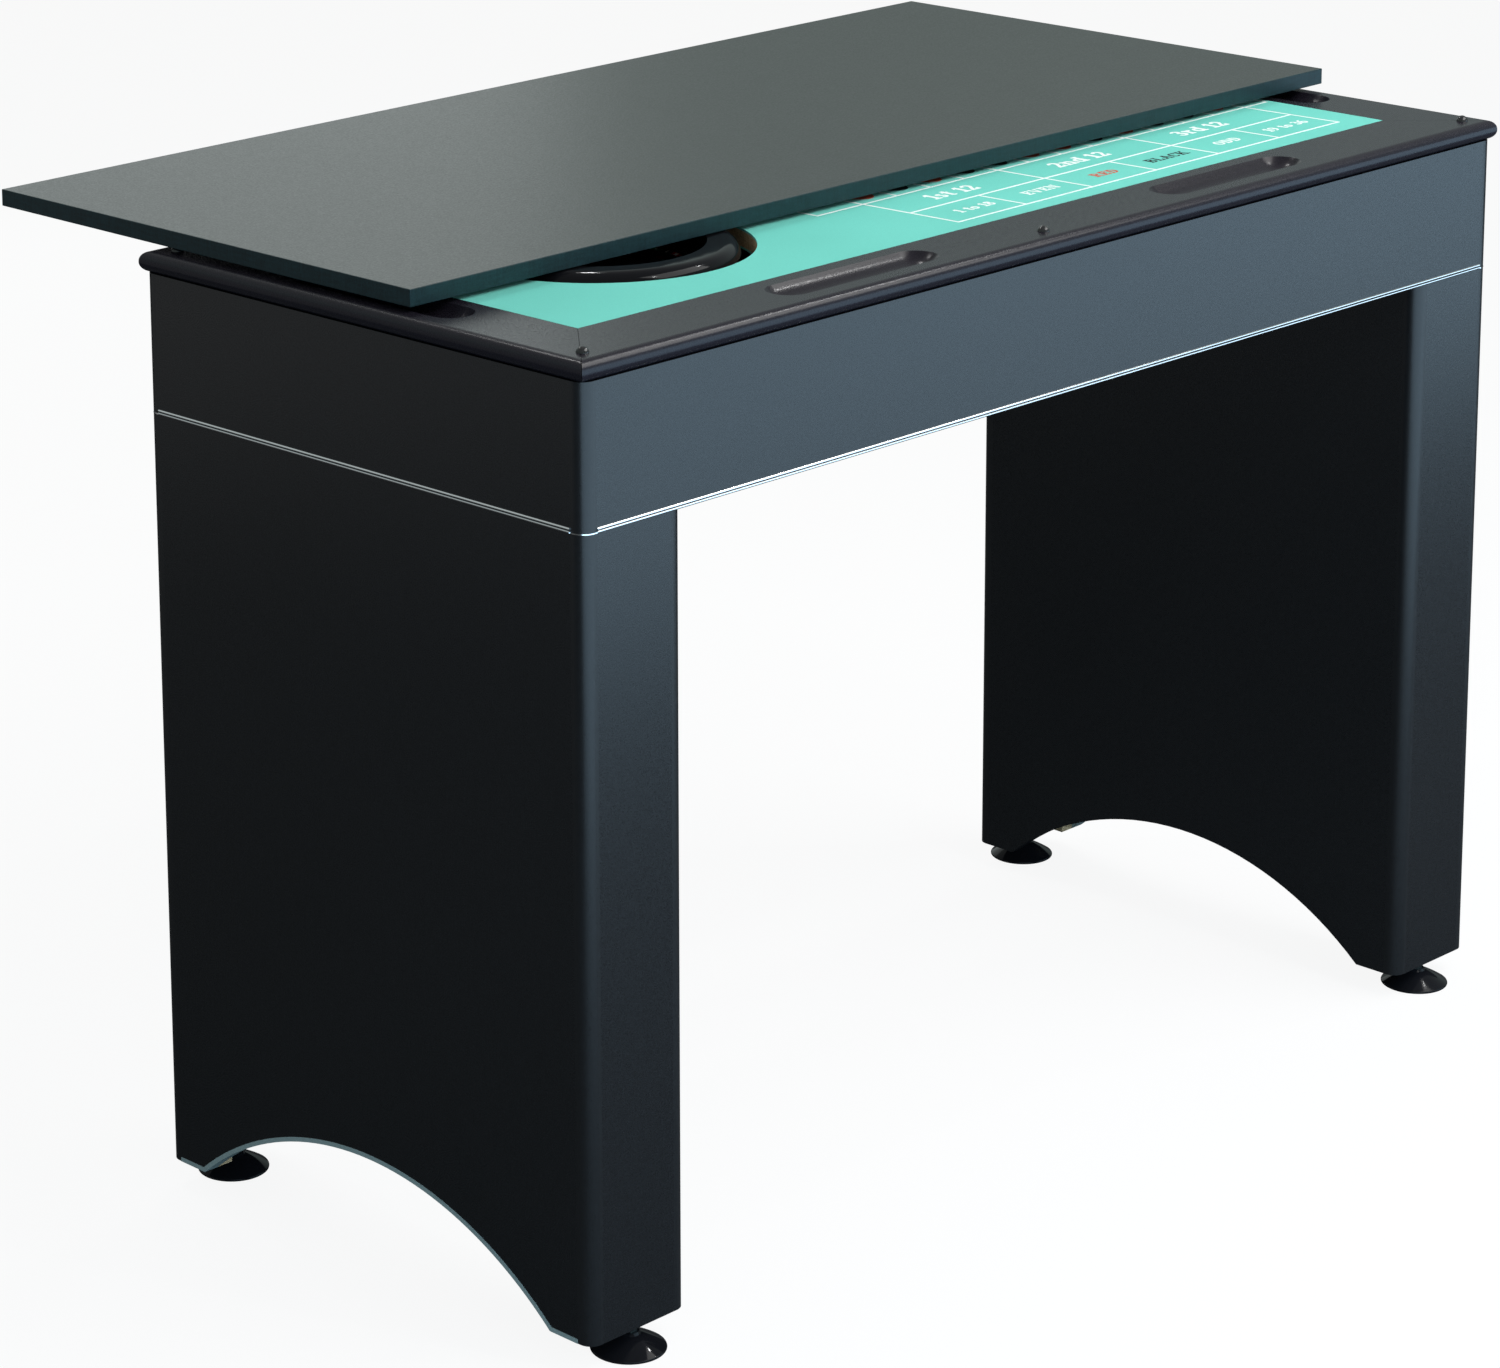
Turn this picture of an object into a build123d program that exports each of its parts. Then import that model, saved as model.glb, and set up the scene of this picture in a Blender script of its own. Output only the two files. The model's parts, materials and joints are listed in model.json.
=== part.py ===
"""A multi-game casino table: roulette playing board in a mitred rail, two box legs, loose dining top.

Millimetres. X runs along the table, the players' long side faces -Y, and Z is up. The origin is on
the floor at the centre of the four feet. The dining top is modelled pushed back off the board.
"""
from build123d import *
import math
import os

# ---- driving dimensions ----
RAIL_LENGTH = 1219.2  # 48 inches over the rail
RAIL_DEPTH = 536.0
RAIL_TOP = 855.0
RAIL_THICK = 18.0
RAIL_NOSE = 8.6  # rounding of the rail's outer edge, top and bottom
OPENING_LENGTH = 1073.4  # the opening in the rail that the playing board fills
OPENING_DEPTH = 380.0
MITRE_GAP = 0.4

BODY_LENGTH = 1213.0
BODY_DEPTH = 530.0
PANEL = 15.0  # aprons, leg panels and corner mouldings
CORNER_ROUND = 12.0
APRON_BOTTOM = 718.0
TRIM_BOTTOM = 713.3
TRIM_RIDGE = 1.15  # radius of each of the two bright ridges along the trim
LINK_THICK = 1.0
LINK_PROUD = 0.3
BOTTOM_PANEL = 12.0

LEG_WIDTH = 112.5
LEG_BOTTOM = 24.6
LEG_BOARD = 30.0  # the thick boards that carry the feet
TOP_PLATE = 15.0
ARCH_HALF_SPAN = 217.8
ARCH_CROWN = 106.5
EDGE_BAND = 4.0
EDGE_BAND_PROUD = 0.4
FOOT_BLOCK_WIDTH = 16.5
FOOT_BLOCK_HEIGHT = 40.0

GROOVE_LENGTH = 196.6  # scooped chip grooves in the rail
GROOVE_WIDTH = 40.0
GROOVE_DEPTH = 10.0
GROOVE_X = 250.0
GROOVE_Y = 225.5
END_GROOVE_X = 570.0

BUMPER_RADIUS = 5.5
BUMPER_HEIGHT = 4.9
BUMPER_CORNER_X = 585.5
BUMPER_CORNER_Y = 244.5
BUMPER_MIDDLE_X = -28.0

FELT = 2.0
BOARD_CLEARANCE = 0.5
WHEEL_X = -325.0
WHEEL_HOLE_RADIUS = 136.7

CLEAT_WIDTH = 40.0
CLEAT_HEIGHT = 18.0
CLEAT_UNDER_BOARD = 15.0
SCREW_RADIUS = 2.0
SCREW_HEAD_RADIUS = 4.0
SCREW_HEAD_HEIGHT = 2.4
SCREW_INTO_RAIL = 9.0
SCREW_POINT = 3.0
SCREW_TIP_RADIUS = 0.4
CLEAT_SCREW_INSET = 10.0
CLEAT_SCREW_X = (-480.0, -160.0, 160.0, 480.0)
CLEAT_SCREW_Y = (-110.0, 110.0)
BRACE = 40.0

SHELF_THICK = 12.0
SHELF_HALF = 140.0
RISER_THICK = 18.0

BOWL_TOP_GAP = 0.9  # left under the dining top
BOWL_HEIGHT = 51.0
BOWL_RADIUS = 123.0
BOWL_FOOT_RADIUS = 84.0
BOWL_WALL_RADIUS = 114.0  # a point part way up the swelling wall
BOWL_WALL_RISE = 22.0
BOWL_ROLL = 12.0  # radius of the rim's rolled outer edge
LIP_INNER = 94.0  # the rim's wide top runs in to here, falling slightly
LIP_FALL = 0.4
TRACK_RADIUS = 92.0
TRACK_TOP = 10.0  # these three are depths below the rim's crest
TRACK_FLOOR = 18.0
WELL_TOP = 19.5
TRACK_WIDTH = 7.0
BOWL_FLOOR = 14.0
ROTOR_RADIUS = 82.0
ROTOR_GAP = 1.5
ROTOR_LIFT = 2.0
ROTOR_THICK = 6.0
ROTOR_EDGE_RISE = 1.5  # the raised outer deck slopes up by this much
POCKETS = 38
POCKET_INNER = 60.0
POCKET_OUTER = 77.0
POCKET_DEPTH = 5.0
POCKET_FLOOR = 1.0
FRET_THICK = 1.0
FRET_END_GAP = 0.2
CONE_HEIGHT = 16.0
CONE_TOP_RADIUS = 16.0
CONE_BEND_RADIUS = 36.0
CONE_BEND_HEIGHT = 9.5
SPINDLE_RADIUS = 5.0
SPINDLE_LOW_GAP = 0.5
SPINDLE_PAST_CONE = 2.0
SPINDLE_ROUND = 1.0
BUSH_RADIUS = 9.0
BUSH_BELOW_CONE = 3.0
RUNNING_GAP = 0.05
# (radius, height above the cone) up the finial
TURRET_OUTLINE = [(12.0, 0.0), (12.0, 2.0), (8.0, 3.2), (4.5, 5.5)]
TURRET_OUTLINE += [(4.5, 8.0), (6.0, 9.0), (6.0, 9.6), (3.0, 11.0)]
TURRET_BORE_SLACK = 0.6
TURRET_ARM = 15.0
TURRET_ARM_RADIUS = 1.3
TURRET_ARM_LEVEL = 4.2
TURRET_TIP_RADIUS = 2.2

TOP_LENGTH = 1213.0
TOP_DEPTH = 531.0
TOP_THICK = 15.0
TOP_X = 10.5
TOP_Y = 206.7
TOP_LIFT = 5.0  # the bumpers hold the dining top this far above the rail
TOP_EDGING = 1.0
EDGE_EASE = 0.6

FOOT_X = 547.0
FOOT_Y = 249.0
PAD_RADIUS = 32.0
PAD_RIM = 2.6
PAD_EDGE = 0.8  # how far the rim's rounded edge bulges
PAD_SLOPE_IN = 10.0  # a point on the hollow slope: this far in from the rim,
PAD_SLOPE_RISE = 5.6  # and this far above it
PAD_HUB_RADIUS = 10.5
PAD_HUB_CHAMFER = 1.5
PAD_SHOULDER_DROP = 2.0
PAD_HEIGHT = 16.0
SOCKET_RADIUS = 6.05
SOCKET_FLOOR = 6.0
STEM_RADIUS = 4.0
STEM_SHANK_END = 62.0
STEM_HEX = 13.0
INSERT_RADIUS = 6.0
INSERT_LENGTH = 16.0
STEM_HOLE_END = 92.0
HOLE_SLACK = 0.5  # radial play of clearance holes

LEG_BOLT_RADIUS = 4.0
LEG_BOLT_HEX = 13.0
LEG_BOLT_HEAD = 5.3
LEG_NUT_HEIGHT = 6.5
LEG_BOLT_PAST_NUT = 3.0
LEG_BOLT_SPREAD_X = 22.0
LEG_BOLT_SPREAD_Y = 180.0

# ---- levels and half sizes worked out from them ----
RAIL_BOTTOM = RAIL_TOP - RAIL_THICK
HALF_X = BODY_LENGTH / 2
HALF_Y = BODY_DEPTH / 2
INNER_X = HALF_X - PANEL
INNER_Y = HALF_Y - PANEL
OPEN_X = OPENING_LENGTH / 2
OPEN_Y = OPENING_DEPTH / 2
PANEL_TOP = APRON_BOTTOM + BOTTOM_PANEL
CLEAT_BOTTOM = RAIL_BOTTOM - CLEAT_HEIGHT
TOP_UNDERSIDE = RAIL_TOP + TOP_LIFT
BOWL_TOP = TOP_UNDERSIDE - BOWL_TOP_GAP
BOWL_BASE = BOWL_TOP - BOWL_HEIGHT
ROTOR_BASE = BOWL_BASE + BOWL_FLOOR + ROTOR_LIFT
DECK = ROTOR_BASE + ROTOR_THICK
CONE_TOP = DECK + CONE_HEIGHT
LEG_INNER_X = HALF_X - LEG_WIDTH
SIDES = (-1, 1)
CORNERS = [(x, y) for x in SIDES for y in SIDES]


def block(x_range, y_range, z_range):
    """A box between the given limits, which may come in either order."""
    lows = [min(pair) for pair in (x_range, y_range, z_range)]
    highs = [max(pair) for pair in (x_range, y_range, z_range)]
    size = [high - low for low, high in zip(lows, highs)]
    centre = [(high + low) / 2 for low, high in zip(lows, highs)]
    return Pos(*centre) * Box(*size)


def rod(x, y, z_range, radius):
    """An upright cylinder."""
    height = z_range[1] - z_range[0]
    return Pos(x, y, (z_range[0] + z_range[1]) / 2) * Cylinder(radius, height)


def turned(points, x=0.0, y=0.0):
    """A solid of revolution about the upright axis at x, y, from (radius, height) points."""
    outline = Polyline(*[(r, 0, z) for r, z in points], close=True)
    return Pos(x, y, 0) * revolve(make_face(outline), Axis.Z)


def hexagon(x, y, z_range, across_flats):
    """An upright hexagonal bar."""
    sketch = RegularPolygon(across_flats / 2, 6, major_radius=False)
    return Pos(x, y, z_range[0]) * extrude(sketch, z_range[1] - z_range[0])


def solids_of(shape):
    return list(shape.solids())


def save(name, *shapes):
    """Writes one node: a single solid, or a group of separate ones."""
    pieces = [solid for shape in shapes for solid in solids_of(shape)]
    whole = pieces[0] if len(pieces) == 1 else Compound(children=pieces)
    whole.label = name
    export_step(whole, os.path.join("parts", name + ".step"))


# ---- rail ----
def groove(length):
    """The ball-nosed cutter of a chip groove, lying along X with its mouth at the rail's top."""
    half_width = GROOVE_WIDTH / 2
    radius = (half_width**2 + GROOVE_DEPTH**2) / (2 * GROOVE_DEPTH)
    straight = length - GROOVE_WIDTH
    height = RAIL_TOP - GROOVE_DEPTH + radius
    cutter = Rot(0, 90, 0) * Cylinder(radius, straight)
    for side in SIDES:
        cutter += Pos(side * straight / 2, 0, 0) * Sphere(radius)
    return Pos(0, 0, height) * cutter


def cleat_screw_places():
    """Where screws come up through the cleats into the rail."""
    long_y = OPEN_Y + CLEAT_SCREW_INSET
    end_x = OPEN_X + CLEAT_SCREW_INSET
    places = [(x, side * long_y) for side in SIDES for x in CLEAT_SCREW_X]
    places += [(side * end_x, y) for side in SIDES for y in CLEAT_SCREW_Y]
    return places


def rail_ring():
    ring = Pos(0, 0, (RAIL_TOP + RAIL_BOTTOM) / 2) * Box(RAIL_LENGTH, RAIL_DEPTH, RAIL_THICK)
    ring = fillet(ring.edges().filter_by(Axis.Z, reverse=True), RAIL_NOSE)
    ring -= block((-OPEN_X, OPEN_X), (-OPEN_Y, OPEN_Y), (RAIL_BOTTOM - 1, RAIL_TOP + 1))
    for side_x, side_y in CORNERS:
        ring -= Pos(side_x * GROOVE_X, side_y * GROOVE_Y, 0) * groove(GROOVE_LENGTH)
    for side in SIDES:
        ring -= Pos(side * END_GROOVE_X, 0, 0) * Rot(0, 0, 90) * groove(GROOVE_LENGTH)
    for x, y in cleat_screw_places():
        ring -= rod(x, y, (RAIL_BOTTOM - 1, RAIL_BOTTOM + SCREW_INTO_RAIL + 1), SCREW_RADIUS)
    return ring


def mitre_wedge(long_side, side):
    """The prism that cuts one rail out of the ring, its mitres set back by half the gap."""
    reach = 1.2  # runs past the rail's corner, along the mitre
    far_x = OPEN_X + (RAIL_LENGTH / 2 - OPEN_X) * reach
    far_y = OPEN_Y + (RAIL_DEPTH / 2 - OPEN_Y) * reach
    back = MITRE_GAP / 2 * math.sqrt(2)
    if long_side:
        points = [(-far_x, far_y), (far_x, far_y), (OPEN_X, OPEN_Y), (-OPEN_X, OPEN_Y)]
        points = [(x - math.copysign(back, x), side * y) for x, y in points]
    else:
        points = [(far_x, -far_y), (far_x, far_y), (OPEN_X, OPEN_Y), (OPEN_X, -OPEN_Y)]
        points = [(side * x, y - math.copysign(back, y)) for x, y in points]
    face = make_face(Polyline(*points, close=True))
    return Pos(0, 0, RAIL_BOTTOM - 1) * extrude(face, RAIL_THICK + 2, dir=(0, 0, 1))


def build_rails():
    ring = rail_ring()
    save("rail_front", ring & mitre_wedge(True, -1))
    save("rail_back", ring & mitre_wedge(True, 1))
    save("rail_left", ring & mitre_wedge(False, -1))
    save("rail_right", ring & mitre_wedge(False, 1))


def bumper(x, y):
    """A low domed button on the rail that the dining top rests on."""
    crown = (BUMPER_RADIUS**2 + BUMPER_HEIGHT**2) / (2 * BUMPER_HEIGHT)
    dome = Pos(x, y, RAIL_TOP + BUMPER_HEIGHT - crown) * Sphere(crown)
    reach = BUMPER_RADIUS + 1
    return dome & block((x - reach, x + reach), (y - reach, y + reach), (RAIL_TOP, TOP_UNDERSIDE))


def build_bumpers():
    places = [(x * BUMPER_CORNER_X, y * BUMPER_CORNER_Y) for x, y in CORNERS]
    places += [(BUMPER_MIDDLE_X, side * BUMPER_CORNER_Y) for side in SIDES]
    save("rail_bumpers", *[bumper(x, y) for x, y in places])


# ---- cabinet under the rail ----
def rounded_post(side_x, side_y, outer_x, outer_y, z_range, size=PANEL, proud=0.0):
    """A square corner moulding whose outermost upright edge is rounded."""
    outer_x, outer_y = outer_x + proud, outer_y + proud
    inner_x, inner_y = outer_x - size - proud, outer_y - size - proud
    post = block(
        (side_x * inner_x, side_x * outer_x),
        (side_y * inner_y, side_y * outer_y),
        z_range,
    )
    uprights = post.edges().filter_by(Axis.Z)
    corner = uprights.sort_by(lambda edge: side_x * edge.center().X + side_y * edge.center().Y)[-1]
    return fillet(corner, CORNER_ROUND + proud)


def build_aprons():
    level = (APRON_BOTTOM, RAIL_BOTTOM)
    for name, side in (("apron_front", -1), ("apron_back", 1)):
        save(name, block((-INNER_X, INNER_X), (side * INNER_Y, side * HALF_Y), level))
    for name, side in (("apron_left", -1), ("apron_right", 1)):
        save(name, block((side * INNER_X, side * HALF_X), (-INNER_Y, INNER_Y), level))
    posts = [
        rounded_post(x, y, HALF_X, HALF_Y, (TRIM_BOTTOM + LINK_THICK, RAIL_BOTTOM))
        for x, y in CORNERS
    ]
    save("apron_corner_mouldings", *posts)
    braces = [
        block(
            (x * (INNER_X - BRACE), x * INNER_X),
            (y * (INNER_Y - BRACE), y * INNER_Y),
            (PANEL_TOP, CLEAT_BOTTOM),
        )
        for x, y in CORNERS
    ]
    save("corner_braces", *braces)


def trim_strip(half_length):
    """Double-ridged edge trim along X, its outer face at y = 0 and its body towards +Y."""
    strip = block((-half_length, half_length), (0, PANEL), (TRIM_BOTTOM, APRON_BOTTOM))
    for z in (TRIM_BOTTOM + TRIM_RIDGE, APRON_BOTTOM - TRIM_RIDGE):
        strip += Pos(0, 0, z) * Rot(0, 90, 0) * Cylinder(TRIM_RIDGE, 2 * half_length)
    return strip


def build_trim():
    long_strip = trim_strip(INNER_X)
    end_strip = trim_strip(INNER_Y)
    save("trim_front", Pos(0, -HALF_Y, 0) * long_strip)
    save("trim_back", Rot(0, 0, 180) * Pos(0, -HALF_Y, 0) * long_strip)
    save("trim_left", Rot(0, 0, -90) * Pos(0, -HALF_X, 0) * end_strip)
    save("trim_right", Rot(0, 0, 90) * Pos(0, -HALF_X, 0) * end_strip)
    level = (TRIM_BOTTOM, TRIM_BOTTOM + LINK_THICK)
    links = [rounded_post(x, y, HALF_X, HALF_Y, level, proud=LINK_PROUD) for x, y in CORNERS]
    save("trim_corner_links", *links)


def leg_bolt_places():
    """Four bolts hold each leg's top plate up to the bottom panel."""
    middle = (INNER_X + LEG_INNER_X + PANEL) / 2
    places = []
    for side in SIDES:
        for x, y in CORNERS:
            places.append((side * middle + x * LEG_BOLT_SPREAD_X, y * LEG_BOLT_SPREAD_Y))
    return places


def build_bottom_panel():
    panel = block((-INNER_X, INNER_X), (-INNER_Y, INNER_Y), (APRON_BOTTOM, PANEL_TOP))
    for x, y in leg_bolt_places():
        panel -= rod(x, y, (APRON_BOTTOM - 1, PANEL_TOP + 1), LEG_BOLT_RADIUS + HOLE_SLACK)
    save("bottom_panel", panel)


def build_cleats():
    """Strips screwed up under the rail, whose inner edges carry the playing board."""
    inner_x, inner_y = OPEN_X - CLEAT_UNDER_BOARD, OPEN_Y - CLEAT_UNDER_BOARD
    outer_x, outer_y = inner_x + CLEAT_WIDTH, inner_y + CLEAT_WIDTH
    level = (CLEAT_BOTTOM, RAIL_BOTTOM)
    cleats = [block((-outer_x, outer_x), (y * inner_y, y * outer_y), level) for y in SIDES]
    cleats += [block((x * inner_x, x * outer_x), (-inner_y, inner_y), level) for x in SIDES]
    screws = []
    for x, y in cleat_screw_places():
        hole = rod(x, y, (CLEAT_BOTTOM - 1, RAIL_BOTTOM + 1), SCREW_RADIUS)
        head_low, head_high = CLEAT_BOTTOM, CLEAT_BOTTOM + SCREW_HEAD_HEIGHT
        sink = [(0, head_low), (SCREW_HEAD_RADIUS, head_low), (SCREW_RADIUS, head_high), (0, head_high)]
        hole += turned(sink, x, y)
        cleats = [cleat - hole for cleat in cleats]
        tip = RAIL_BOTTOM + SCREW_INTO_RAIL
        shape = [(0, head_low), (SCREW_HEAD_RADIUS, head_low), (SCREW_RADIUS, head_high)]
        shape += [(SCREW_RADIUS, tip - SCREW_POINT), (SCREW_TIP_RADIUS, tip), (0, tip)]
        screws.append(turned(shape, x, y))
    save("board_cleats", *cleats)
    save("cleat_screws", *screws)


# ---- playing board ----
def board_slab(z_range):
    half_x, half_y = OPEN_X - BOARD_CLEARANCE, OPEN_Y - BOARD_CLEARANCE
    slab = block((-half_x, half_x), (-half_y, half_y), z_range)
    return slab - rod(WHEEL_X, 0, (z_range[0] - 1, z_range[1] + 1), WHEEL_HOLE_RADIUS)


def build_playing_board():
    save("playing_board", board_slab((RAIL_BOTTOM + FELT, RAIL_TOP - FELT)))
    save("roulette_felt", board_slab((RAIL_TOP - FELT, RAIL_TOP)))
    save("reverse_felt", board_slab((RAIL_BOTTOM, RAIL_BOTTOM + FELT)))


# ---- roulette wheel ----
def build_wheel_shelf():
    shelf_top = BOWL_BASE
    shelf_low = shelf_top - SHELF_THICK
    x_range = (WHEEL_X - SHELF_HALF, WHEEL_X + SHELF_HALF)
    save("wheel_shelf", block(x_range, (-SHELF_HALF, SHELF_HALF), (shelf_low, shelf_top)))
    risers = [
        block(
            (WHEEL_X + side * (SHELF_HALF - RISER_THICK), WHEEL_X + side * SHELF_HALF),
            (-SHELF_HALF, SHELF_HALF),
            (PANEL_TOP, shelf_low),
        )
        for side in SIDES
    ]
    save("wheel_shelf_risers", *risers)


def bowl_profile():
    """Half section: foot, swelling wall, rolled rim with a wide top, ball track, rotor's well."""
    floor = BOWL_BASE + BOWL_FLOOR
    well = ROTOR_RADIUS + ROTOR_GAP
    foot = (BOWL_FOOT_RADIUS, 0, BOWL_BASE)
    wall = (BOWL_WALL_RADIUS, 0, BOWL_BASE + BOWL_WALL_RISE)
    roll = (BOWL_RADIUS, 0, BOWL_TOP - BOWL_ROLL)
    crest_radius = BOWL_RADIUS - BOWL_ROLL
    diagonal = BOWL_ROLL * math.sqrt(0.5)
    shoulder = (crest_radius + diagonal, 0, BOWL_TOP - BOWL_ROLL + diagonal)
    crest = (crest_radius, 0, BOWL_TOP)
    lip = (LIP_INNER, 0, BOWL_TOP - LIP_FALL)
    on_lip = ((crest_radius + LIP_INNER) / 2, 0, BOWL_TOP - LIP_FALL / 4)
    track_top = (TRACK_RADIUS, 0, BOWL_TOP - TRACK_TOP)
    inner_edge = (TRACK_RADIUS + (LIP_INNER - TRACK_RADIUS) / 4, 0, BOWL_TOP - TRACK_TOP / 2)
    track_floor = (TRACK_RADIUS - TRACK_WIDTH, 0, BOWL_TOP - TRACK_FLOOR)
    track_bend = (TRACK_RADIUS - TRACK_WIDTH / 4, 0, BOWL_TOP - (TRACK_TOP + 2 * TRACK_FLOOR) / 3)
    well_top = (well, 0, BOWL_TOP - WELL_TOP)
    bore_low = (SPINDLE_RADIUS, 0, BOWL_BASE)
    bore_top = (SPINDLE_RADIUS, 0, floor)
    outline = [
        Line(bore_low, foot),
        ThreePointArc(foot, wall, roll),
        ThreePointArc(roll, shoulder, crest),
        ThreePointArc(crest, on_lip, lip),
        ThreePointArc(lip, inner_edge, track_top),
        ThreePointArc(track_top, track_bend, track_floor),
        Line(track_floor, well_top),
        Line(well_top, (well, 0, floor)),
        Line((well, 0, floor), bore_top),
        Line(bore_top, bore_low),
    ]
    return make_face(Wire(outline))


def pocket_ring():
    """Bright ring of pockets: a thin floor and one upright fret between each pair of pockets."""
    ring = rod(0, 0, (DECK, DECK + POCKET_FLOOR), POCKET_OUTER)
    ring -= rod(0, 0, (DECK - 1, DECK + POCKET_FLOOR + 1), POCKET_INNER)
    middle = (POCKET_INNER + POCKET_OUTER) / 2
    length = POCKET_OUTER - POCKET_INNER - 2 * FRET_END_GAP
    fret = Pos(middle, 0, DECK + POCKET_DEPTH / 2) * Box(length, FRET_THICK, POCKET_DEPTH)
    for step in range(POCKETS):
        ring += Rot(0, 0, 360.0 * step / POCKETS) * fret
    return Pos(WHEEL_X, 0, 0) * ring


def turret(cavity_top):
    """The bright finial with four short arms that is flicked to spin the wheel."""
    outline = [(radius, CONE_TOP + height) for radius, height in TURRET_OUTLINE]
    shape = turned([(0, CONE_TOP)] + outline + [(0, outline[-1][1])], WHEEL_X)
    for quarter in range(4):
        arm = Pos(TURRET_ARM / 2, 0, 0) * Rot(0, 90, 0) * Cylinder(TURRET_ARM_RADIUS, TURRET_ARM)
        arm += Pos(TURRET_ARM, 0, 0) * Sphere(TURRET_TIP_RADIUS)
        shape += Pos(WHEEL_X, 0, CONE_TOP + TURRET_ARM_LEVEL) * Rot(0, 0, 45 + 90 * quarter) * arm
    return shape - rod(WHEEL_X, 0, (CONE_TOP - 1, cavity_top), SPINDLE_RADIUS + TURRET_BORE_SLACK)


def build_wheel():
    save("wheel_bowl", Pos(WHEEL_X, 0, 0) * revolve(bowl_profile(), Axis.Z))

    spindle_top = CONE_TOP + SPINDLE_PAST_CONE
    spindle = rod(WHEEL_X, 0, (BOWL_BASE + SPINDLE_LOW_GAP, spindle_top), SPINDLE_RADIUS)
    save("wheel_spindle", fillet(spindle.edges().sort_by(Axis.Z)[-1], SPINDLE_ROUND))

    bush_top = CONE_TOP - BUSH_BELOW_CONE
    bush_low = BOWL_BASE + BOWL_FLOOR + RUNNING_GAP
    bush = rod(WHEEL_X, 0, (bush_low, bush_top), BUSH_RADIUS)
    bush -= rod(WHEEL_X, 0, (bush_low - 1, bush_top + 1), SPINDLE_RADIUS + RUNNING_GAP)
    save("wheel_bush", bush)

    # the rotor's disc carries a raised outer deck for the numbers and a seat for the pocket ring
    raised = DECK + POCKET_DEPTH
    disc = [
        (BUSH_RADIUS, ROTOR_BASE),
        (ROTOR_RADIUS, ROTOR_BASE),
        (ROTOR_RADIUS, raised + ROTOR_EDGE_RISE),
        (POCKET_OUTER, raised),
        (POCKET_OUTER, DECK),
        (BUSH_RADIUS, DECK),
    ]
    save("wheel_rotor", turned(disc, WHEEL_X))
    save("wheel_pocket_ring", pocket_ring())
    cone = [
        (BUSH_RADIUS, DECK),
        (POCKET_INNER, DECK),
        (POCKET_INNER, raised),
        (CONE_BEND_RADIUS, DECK + CONE_BEND_HEIGHT),
        (CONE_TOP_RADIUS, CONE_TOP),
        (BUSH_RADIUS, CONE_TOP),
    ]
    save("wheel_cone", turned(cone, WHEEL_X))
    save("wheel_turret", turret(spindle_top + 1))


# ---- legs ----
def arch_cylinder(extra):
    """The cylinder along X that cuts the arch, enlarged by the given amount."""
    rise = ARCH_CROWN - LEG_BOTTOM
    radius = (ARCH_HALF_SPAN**2 + rise**2) / (2 * rise)
    return Pos(0, 0, ARCH_CROWN - radius) * Rot(0, 90, 0) * Cylinder(radius + extra, 2 * BODY_LENGTH)


def leg_panel(x_range, z_range, extra):
    panel = block(x_range, (-INNER_Y, INNER_Y), z_range)
    return panel - arch_cylinder(extra)


def edge_band(side):
    """The pale band along the bottom edge and arch of an outer leg panel."""
    x_range = (side * INNER_X, side * (HALF_X + EDGE_BAND_PROUD))
    top = ARCH_CROWN + 2 * EDGE_BAND
    whole = leg_panel(x_range, (LEG_BOTTOM, top), 0)
    above = leg_panel(x_range, (LEG_BOTTOM + EDGE_BAND, top), EDGE_BAND)
    return whole - above


def leg_board(side_x, side_y):
    """The thick front or back board of a leg, bored for the foot's insert and stem."""
    board = block(
        (side_x * (LEG_INNER_X + PANEL), side_x * INNER_X),
        (side_y * (HALF_Y - LEG_BOARD), side_y * HALF_Y),
        (LEG_BOTTOM, TRIM_BOTTOM),
    )
    x, y = side_x * FOOT_X, side_y * FOOT_Y
    board -= rod(x, y, (LEG_BOTTOM - 1, LEG_BOTTOM + INSERT_LENGTH), INSERT_RADIUS)
    return board - rod(x, y, (LEG_BOTTOM, STEM_HOLE_END), STEM_RADIUS + HOLE_SLACK)


def build_leg(word, side):
    name = "leg_" + word + "_"
    outer = (side * INNER_X, side * HALF_X)
    inner = (side * LEG_INNER_X, side * (LEG_INNER_X + PANEL))
    save(name + "outer_panel", leg_panel(outer, (LEG_BOTTOM + EDGE_BAND, TRIM_BOTTOM), EDGE_BAND))
    save(name + "inner_panel", leg_panel(inner, (LEG_BOTTOM, APRON_BOTTOM), 0))
    save(name + "edge_band", edge_band(side))
    save(name + "front_board", leg_board(side, -1))
    save(name + "back_board", leg_board(side, 1))
    level = (LEG_BOTTOM, TRIM_BOTTOM)
    posts = []
    for side_y in SIDES:
        posts.append(rounded_post(side, side_y, HALF_X, HALF_Y, level))
        # the inner pair faces the other way, so its outer limit is measured from the other side
        posts.append(rounded_post(-side, side_y, -LEG_INNER_X, HALF_Y, level))
    save(name + "corner_mouldings", *posts)
    half_depth = HALF_Y - LEG_BOARD
    plate = block(
        (side * (LEG_INNER_X + PANEL), side * INNER_X),
        (-half_depth, half_depth),
        (APRON_BOTTOM - TOP_PLATE, APRON_BOTTOM),
    )
    for x, y in leg_bolt_places():
        plate -= rod(x, y, (0, RAIL_TOP), LEG_BOLT_RADIUS + HOLE_SLACK)
    save(name + "top_plate", plate)


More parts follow.
